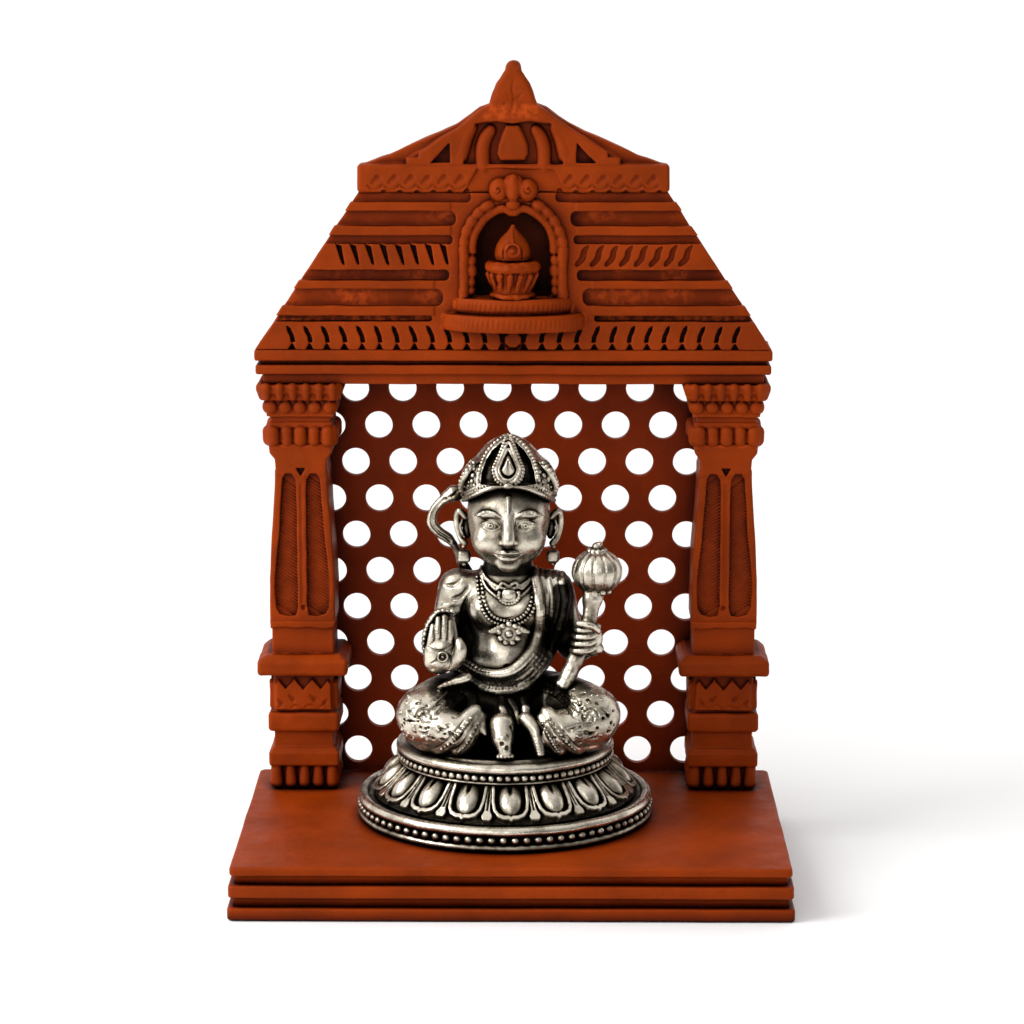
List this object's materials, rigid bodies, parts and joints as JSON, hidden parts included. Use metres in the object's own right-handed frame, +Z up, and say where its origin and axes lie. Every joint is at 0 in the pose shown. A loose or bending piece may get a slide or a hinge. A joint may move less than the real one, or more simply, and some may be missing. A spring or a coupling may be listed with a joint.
{
  "type": "hindu deity statue",
  "caption": "Seated deity idol with a mace on a round lotus pedestal, standing loose in a small temple-shaped shrine with pillars, a carved roof and a perforated back panel.",
  "frame": {"origin": "centre of the plinth's footprint, on the surface that the shrine stands on", "axes": "+Z up, -Y out of the shrine's front, +X to the right of a person looking at the front"},
  "size_m": [0.1, 0.066, 0.1477],
  "materials": {
    "shrine": "satin terracotta-coloured moulded resin, darker in its recesses",
    "panel": "satin dark red-brown sheet with round holes",
    "silver": "antique silver: bright on raised work, black patina in the recesses"
  },
  "bodies": {
    "temple": {"plinth_lower_slab": "shrine", "plinth_middle_slab": "shrine", "plinth_upper_slab": "shrine", "left_pillar_base": "shrine", "left_pillar_ledge": "shrine", "left_pillar_shaft": "shrine", "left_pillar_capital": "shrine", "right_pillar_base": "shrine", "right_pillar_ledge": "shrine", "right_pillar_shaft": "shrine", "right_pillar_capital": "shrine", "back_panel": "panel", "lintel": "shrine", "eave_rib": "shrine", "roof_core": "shrine", "petal_band": "shrine", "leaf_band": "shrine", "roof_rib_1": "shrine", "roof_rib_2": "shrine", "roof_rib_3": "shrine", "roof_rib_4": "shrine", "gable_band": "shrine", "gable": "shrine", "gable_relief": "shrine", "finial": "shrine", "niche_arch": "shrine", "niche_keystone": "shrine", "niche_upper_ledge": "shrine", "niche_lower_ledge": "shrine", "niche_cup": "shrine", "niche_dome": "shrine"},
    "idol": {"pedestal_foot_ring": "silver", "pedestal_foot_beads": "silver", "lotus_flare": "silver", "lotus_petals": "silver", "seat_ring": "silver", "seat_beads": "silver", "seat_disc": "silver", "left_leg": "silver", "right_leg": "silver", "apron_drape": "silver", "torso": "silver", "left_arm": "silver", "left_hand": "silver", "right_arm": "silver", "right_hand": "silver", "neck": "silver", "head": "silver", "ears": "silver", "earrings": "silver", "crown": "silver", "crown_jewel": "silver", "short_necklace": "silver", "long_necklace": "silver", "shoulder_sash": "silver", "mace_shaft": "silver", "mace_head": "silver", "tail": "silver"}
  },
  "joints": [
    {"name": "idol_slide", "type": "slide", "parent": "temple", "child": "idol", "axis": [0, -1, 0], "range_m": [0, 0.03]}
  ]
}
